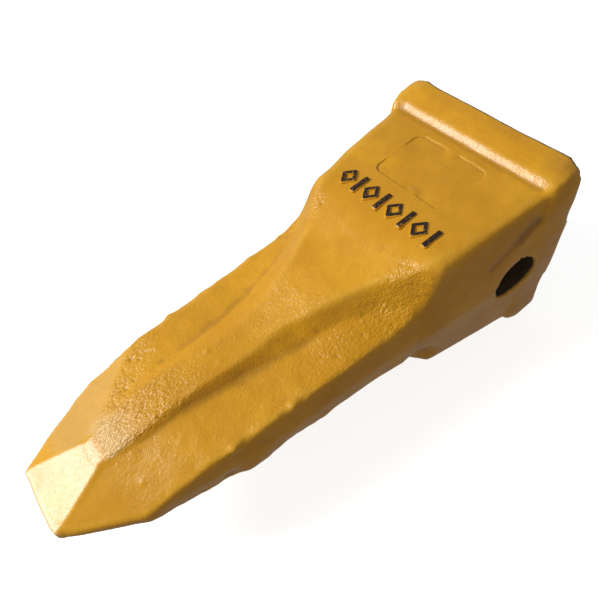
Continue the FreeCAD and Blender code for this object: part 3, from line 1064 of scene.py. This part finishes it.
def paint_finish(name, on_casting):
    """Glossy ochre enamel over cast steel; on the casting also painted shade and highlights, some
    wear and dirt, a darker rear edge and its bare walls.
    """
    finish = Finish(name)
    broad = finish.noise(0.035, 2.0)
    mottled = finish.noise(0.007, 3.0)
    fine = finish.noise(0.0016, 3.0, 0.6)
    grain = finish.noise(0.0006, 2.0, 0.6)
    streaks = finish.noise(0.0010, 2.0, 0.5, (0.5, 1.0, 1.0))
    colour = finish.mix(finish.remap(broad, 0.3, 0.7), OCHRE, BRIGHT_OCHRE)
    colour = finish.mix(finish.remap(mottled, 0.35, 0.75, 0.0, 0.35), colour, DEEP_OCHRE)
    specks = finish.remap(finish.cells(0.011), 0.025, 0.05, 0.6, 0.0)
    colour = finish.mix(specks, colour, SPECK_BROWN)
    rough = finish.remap(fine, 0.2, 0.8, 0.24, 0.36)
    strength, mottle, scratchy = 0.3, 0.3, 0.0
    if on_casting:
        hollow = finish.field("hollow")
        zone = finish.field("rough")
        # Painted shade in hollows, painted highlight on convex edges.
        colour = finish.mix(finish.remap(hollow, 0.15, 1.0, 0.0, 0.5), colour, HOLLOW_SHADE_BROWN)
        colour = finish.mix(finish.remap(hollow, -0.25, -1.0, 0.0, 0.22), colour, EDGE_HIGHLIGHT_OCHRE)
        # Paler cream where the highlights fall: painted highlight.
        wear_and_highlight = finish.remap(finish.field("wear_and_highlight"), 0.0, 1.0, 0.0, 0.45)
        colour = finish.mix(wear_and_highlight, colour, HIGHLIGHT_CREAM)
        # Painted shade in the creases, and dirt at the collar's corner.
        crease_shade_and_dirt = finish.remap(finish.field("crease_shade_and_dirt"), 0.04, 0.6, 0.0, 0.62)
        colour = finish.mix(crease_shade_and_dirt, colour, SHADE_AND_DIRT_BROWN)
        # Darker along the rear edge and rear face, in patches.
        patchy_rear = finish.math("SUBTRACT", finish.field("rear"), mottled)
        rear_darkening = finish.remap(patchy_rear, 0.0, 0.4, 0.0, 0.85)
        colour = finish.mix(rear_darkening, colour, REAR_EDGE_DARK)
        outside = finish.remap(finish.field("outside"), 0.2, 0.9)
        # Raw steel in the socket, and painted shade in the bore.
        raw_and_shade = finish.mix(finish.remap(mottled, 0.3, 0.7), RAW_AND_SHADE_DARK, RAW_AND_SHADE_LIGHT)
        colour = finish.mix(outside, raw_and_shade, colour)
        tip = finish.field("tip")
        strength = finish.remap(zone, 0.0, 0.6, 0.3, 0.85)
        strength = finish.math("MULTIPLY", strength, finish.remap(tip, 0.0, 1.0, 1.0, 0.15))
        mottle = finish.remap(tip, 0.0, 1.0, 0.3, 0.06)
        scratchy = finish.remap(zone, 0.05, 0.75, 0.0, 1.0)
        rough = finish.math("ADD", rough, finish.remap(outside, 0.0, 1.0, 0.35, 0.0))
    finish.feed(finish.shader.inputs["Base Color"], colour)
    finish.feed(finish.shader.inputs["Roughness"], rough)
    finish.shader.inputs["IOR"].default_value = 1.5
    layers = [(mottled, 0.0006, mottle), (fine, 0.0006, strength), (grain, 0.00012, 0.5)]
    finish.bump(layers + [(streaks, 0.0007, scratchy)])
    return finish


def ink_finish():
    """Black-brown marking paint with worn patches."""
    finish = Finish("mark_ink")
    wear = finish.noise(0.0018, 3.0)
    grain = finish.noise(0.0005, 2.0)
    wear_and_highlight = finish.remap(wear, 0.56, 0.70, 0.0, 0.8)
    colour = finish.mix(wear_and_highlight, INK, WORN_INK)
    finish.feed(finish.shader.inputs["Base Color"], colour)
    finish.feed(finish.shader.inputs["Roughness"], finish.remap(grain, 0.3, 0.7, 0.20, 0.42))
    finish.bump([(wear, 0.0008, 1.0), (grain, 0.0001, 0.5)])
    return finish


def steel_finish(name, light, dark, rust):
    """Turned steel with fine tool marks round the axis, handling stains and light rust."""
    finish = Finish(name)
    lines = finish.noise(0.0004, 2.0, 0.6, (0.02, 1.0, 0.02))
    stains = finish.noise(0.009, 4.0, 0.6)
    spots = finish.noise(0.0022, 3.0, 0.6)
    colour = finish.mix(finish.remap(stains, 0.35, 0.65), light, dark)
    rusty = finish.remap(finish.math("MULTIPLY", stains, spots), 0.28, 0.40)
    colour = finish.mix(rusty, colour, rust)
    finish.feed(finish.shader.inputs["Base Color"], colour)
    finish.feed(finish.shader.inputs["Metallic"], finish.remap(rusty, 0.0, 1.0, 1.0, 0.15))
    rough = finish.remap(lines, 0.2, 0.8, 0.26, 0.44)
    rough = finish.math("ADD", rough, finish.remap(rusty, 0.0, 1.0, 0.0, 0.35))
    finish.feed(finish.shader.inputs["Roughness"], rough)
    finish.bump([(lines, 0.00006, 0.5), (spots, 0.00012, 0.35)])
    return finish


def rubber_finish():
    """Black moulded rubber with dusty bloom."""
    finish = Finish("retainer_rubber")
    bloom = finish.noise(0.006, 4.0, 0.6)
    pores = finish.noise(0.0007, 3.0, 0.6)
    colour = finish.mix(finish.remap(bloom, 0.4, 0.75), RUBBER, BLOOM)
    finish.feed(finish.shader.inputs["Base Color"], colour)
    finish.feed(finish.shader.inputs["Roughness"], finish.remap(bloom, 0.3, 0.7, 0.52, 0.78))
    finish.bump([(pores, 0.00015, 0.6), (bloom, 0.0003, 0.2)])
    return finish


# ------------------------ stage

# The camera: its place, what it looks at, its roll in degrees and its lens in millimetres.
CAMERA_PLACE = (241.0, 151.5, 252.0)
CAMERA_TARGET = (136.8, -15.8, 0.0)
CAMERA_ROLL = -8.2
CAMERA_LENS = 32.7

# The lights: direction from the tooth, distance and width in metres, watts and colour.
MIDDLE = Vector((0.15, 0.0, 0.0))
KEY_LIGHT = ((0.60, -0.45, 0.62), 1.5, 0.62, 26.2, (1.0, 0.98, 0.94))
FILL_LIGHT = ((0.10, 1.0, 0.25), 1.8, 1.2, 5.2, (1.0, 0.76, 0.50))
# Strength of the light from all round, on the left and on the right, and of the floor's glow.
ROUND_LIGHT = (0.36, 0.16)
FLOOR_GLOW = 0.84
FLOOR_HALF_SIZE = 3.0


def make_camera():
    """Camera at the photograph's viewing angle."""
    data = bpy.data.cameras.new("camera")
    data.sensor_width = 36.0
    data.lens = CAMERA_LENS
    data.clip_start = 0.01
    data.clip_end = 50.0
    camera = link_object("camera", data)
    place = Vector(CAMERA_PLACE) * MM
    target = Vector(CAMERA_TARGET) * MM
    look = (target - place).to_track_quat("-Z", "Y")
    roll = Matrix.Rotation(math.radians(CAMERA_ROLL), 4, "Z")
    camera.matrix_world = Matrix.Translation(place) @ look.to_matrix().to_4x4() @ roll
    bpy.context.scene.camera = camera


def area_light(name, towards, distance, size, power, colour):
    """Square soft light seen from the middle of the tooth in the given direction."""
    data = bpy.data.lights.new(name, "AREA")
    data.shape = "SQUARE"
    data.size = size
    data.energy = power
    data.color = colour
    light = link_object(name, data)
    way = Vector(towards).normalized()
    light.location = MIDDLE + way * distance
    light.rotation_euler = way.to_track_quat("Z", "Y").to_euler()
    return light


def make_world():
    """Soft light from all round, dimmer on the right side, in front of a pale backdrop."""
    world = bpy.data.worlds.new("studio")
    world.use_nodes = True
    tree = world.node_tree
    background = tree.nodes["Background"]
    place = tree.nodes.new("ShaderNodeTexCoord")
    split = tree.nodes.new("ShaderNodeSeparateXYZ")
    shade = tree.nodes.new("ShaderNodeMapRange")
    tree.links.new(place.outputs["Generated"], split.inputs[0])
    tree.links.new(split.outputs["Y"], shade.inputs["Value"])
    left, right = ROUND_LIGHT
    numbers = (("From Min", -0.5), ("From Max", 0.6), ("To Min", left), ("To Max", right))
    for label, number in numbers:
        shade.inputs[label].default_value = number
    tree.links.new(shade.outputs["Result"], background.inputs["Strength"])
    background.inputs["Color"].default_value = WHITE
    backdrop = tree.nodes.new("ShaderNodeBackground")
    backdrop.inputs["Color"].default_value = WHITE
    seen = tree.nodes.new("ShaderNodeLightPath")
    blend = tree.nodes.new("ShaderNodeMixShader")
    tree.links.new(seen.outputs["Is Camera Ray"], blend.inputs["Fac"])
    tree.links.new(background.outputs["Background"], blend.inputs[1])
    tree.links.new(backdrop.outputs["Background"], blend.inputs[2])
    tree.links.new(blend.outputs["Shader"], tree.nodes["World Output"].inputs["Surface"])
    bpy.context.scene.world = world


def make_stage():
    """Pale floor under the tooth and soft lights."""
    make_world()
    bpy.context.scene.view_settings.view_transform = "Standard"
    lowest = cad_bounds[0][2]
    half = FLOOR_HALF_SIZE
    corners = [(-half, -half), (half, -half), (half, half), (-half, half)]
    mesh = bpy.data.meshes.new("floor")
    mesh.from_pydata([(x, y, lowest) for x, y in corners], [], [(0, 1, 2, 3)])
    floor = link_object("floor", mesh)
    finish = Finish("floor_paper")
    finish.shader.inputs["Base Color"].default_value = PAPER
    finish.shader.inputs["Roughness"].default_value = 0.9
    finish.shader.inputs["Emission Color"].default_value = WHITE
    finish.shader.inputs["Emission Strength"].default_value = FLOOR_GLOW
    finish.give(floor)
    floor.visible_diffuse = False
    floor.visible_glossy = False
    area_light("key", *KEY_LIGHT)
    fill = area_light("fill", *FILL_LIGHT)
    fill.visible_glossy = False


def settle(piece, body, finish, replaced):
    """Give a piece its finish in its material slot and its body, and hide the CAD node that it
    stands for.
    """
    finish.give(piece)
    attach(piece, body)
    if replaced:
        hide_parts(replaced)


make_camera()
make_stage()
settle(make_casting(), "tooth", paint_finish("cast_paint", True), "tooth_casting")
marks = make_marks("raised_marks", PAINTED_PROFILE)
shade_smooth(marks)
settle(marks, "tooth", paint_finish("mark_paint", False), None)
ink = make_marks("mark_ink", INK_PROFILE)
settle(ink, "tooth", ink_finish(), None)
pin_steel = steel_finish("pin_steel", PIN_LIGHT, PIN_DARK, PIN_RUST)
settle(make_pin(), "pin", pin_steel, "retaining_pin")
settle(make_rubber(), "retainer", rubber_finish(), "retainer_rubber")
# The snap ring keeps its CAD shape and only gets its steel.
spring_steel = steel_finish("spring_steel", SPRING_LIGHT, SPRING_DARK, SPRING_RUST)
spring_steel.give(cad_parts["retainer_snap_ring"])
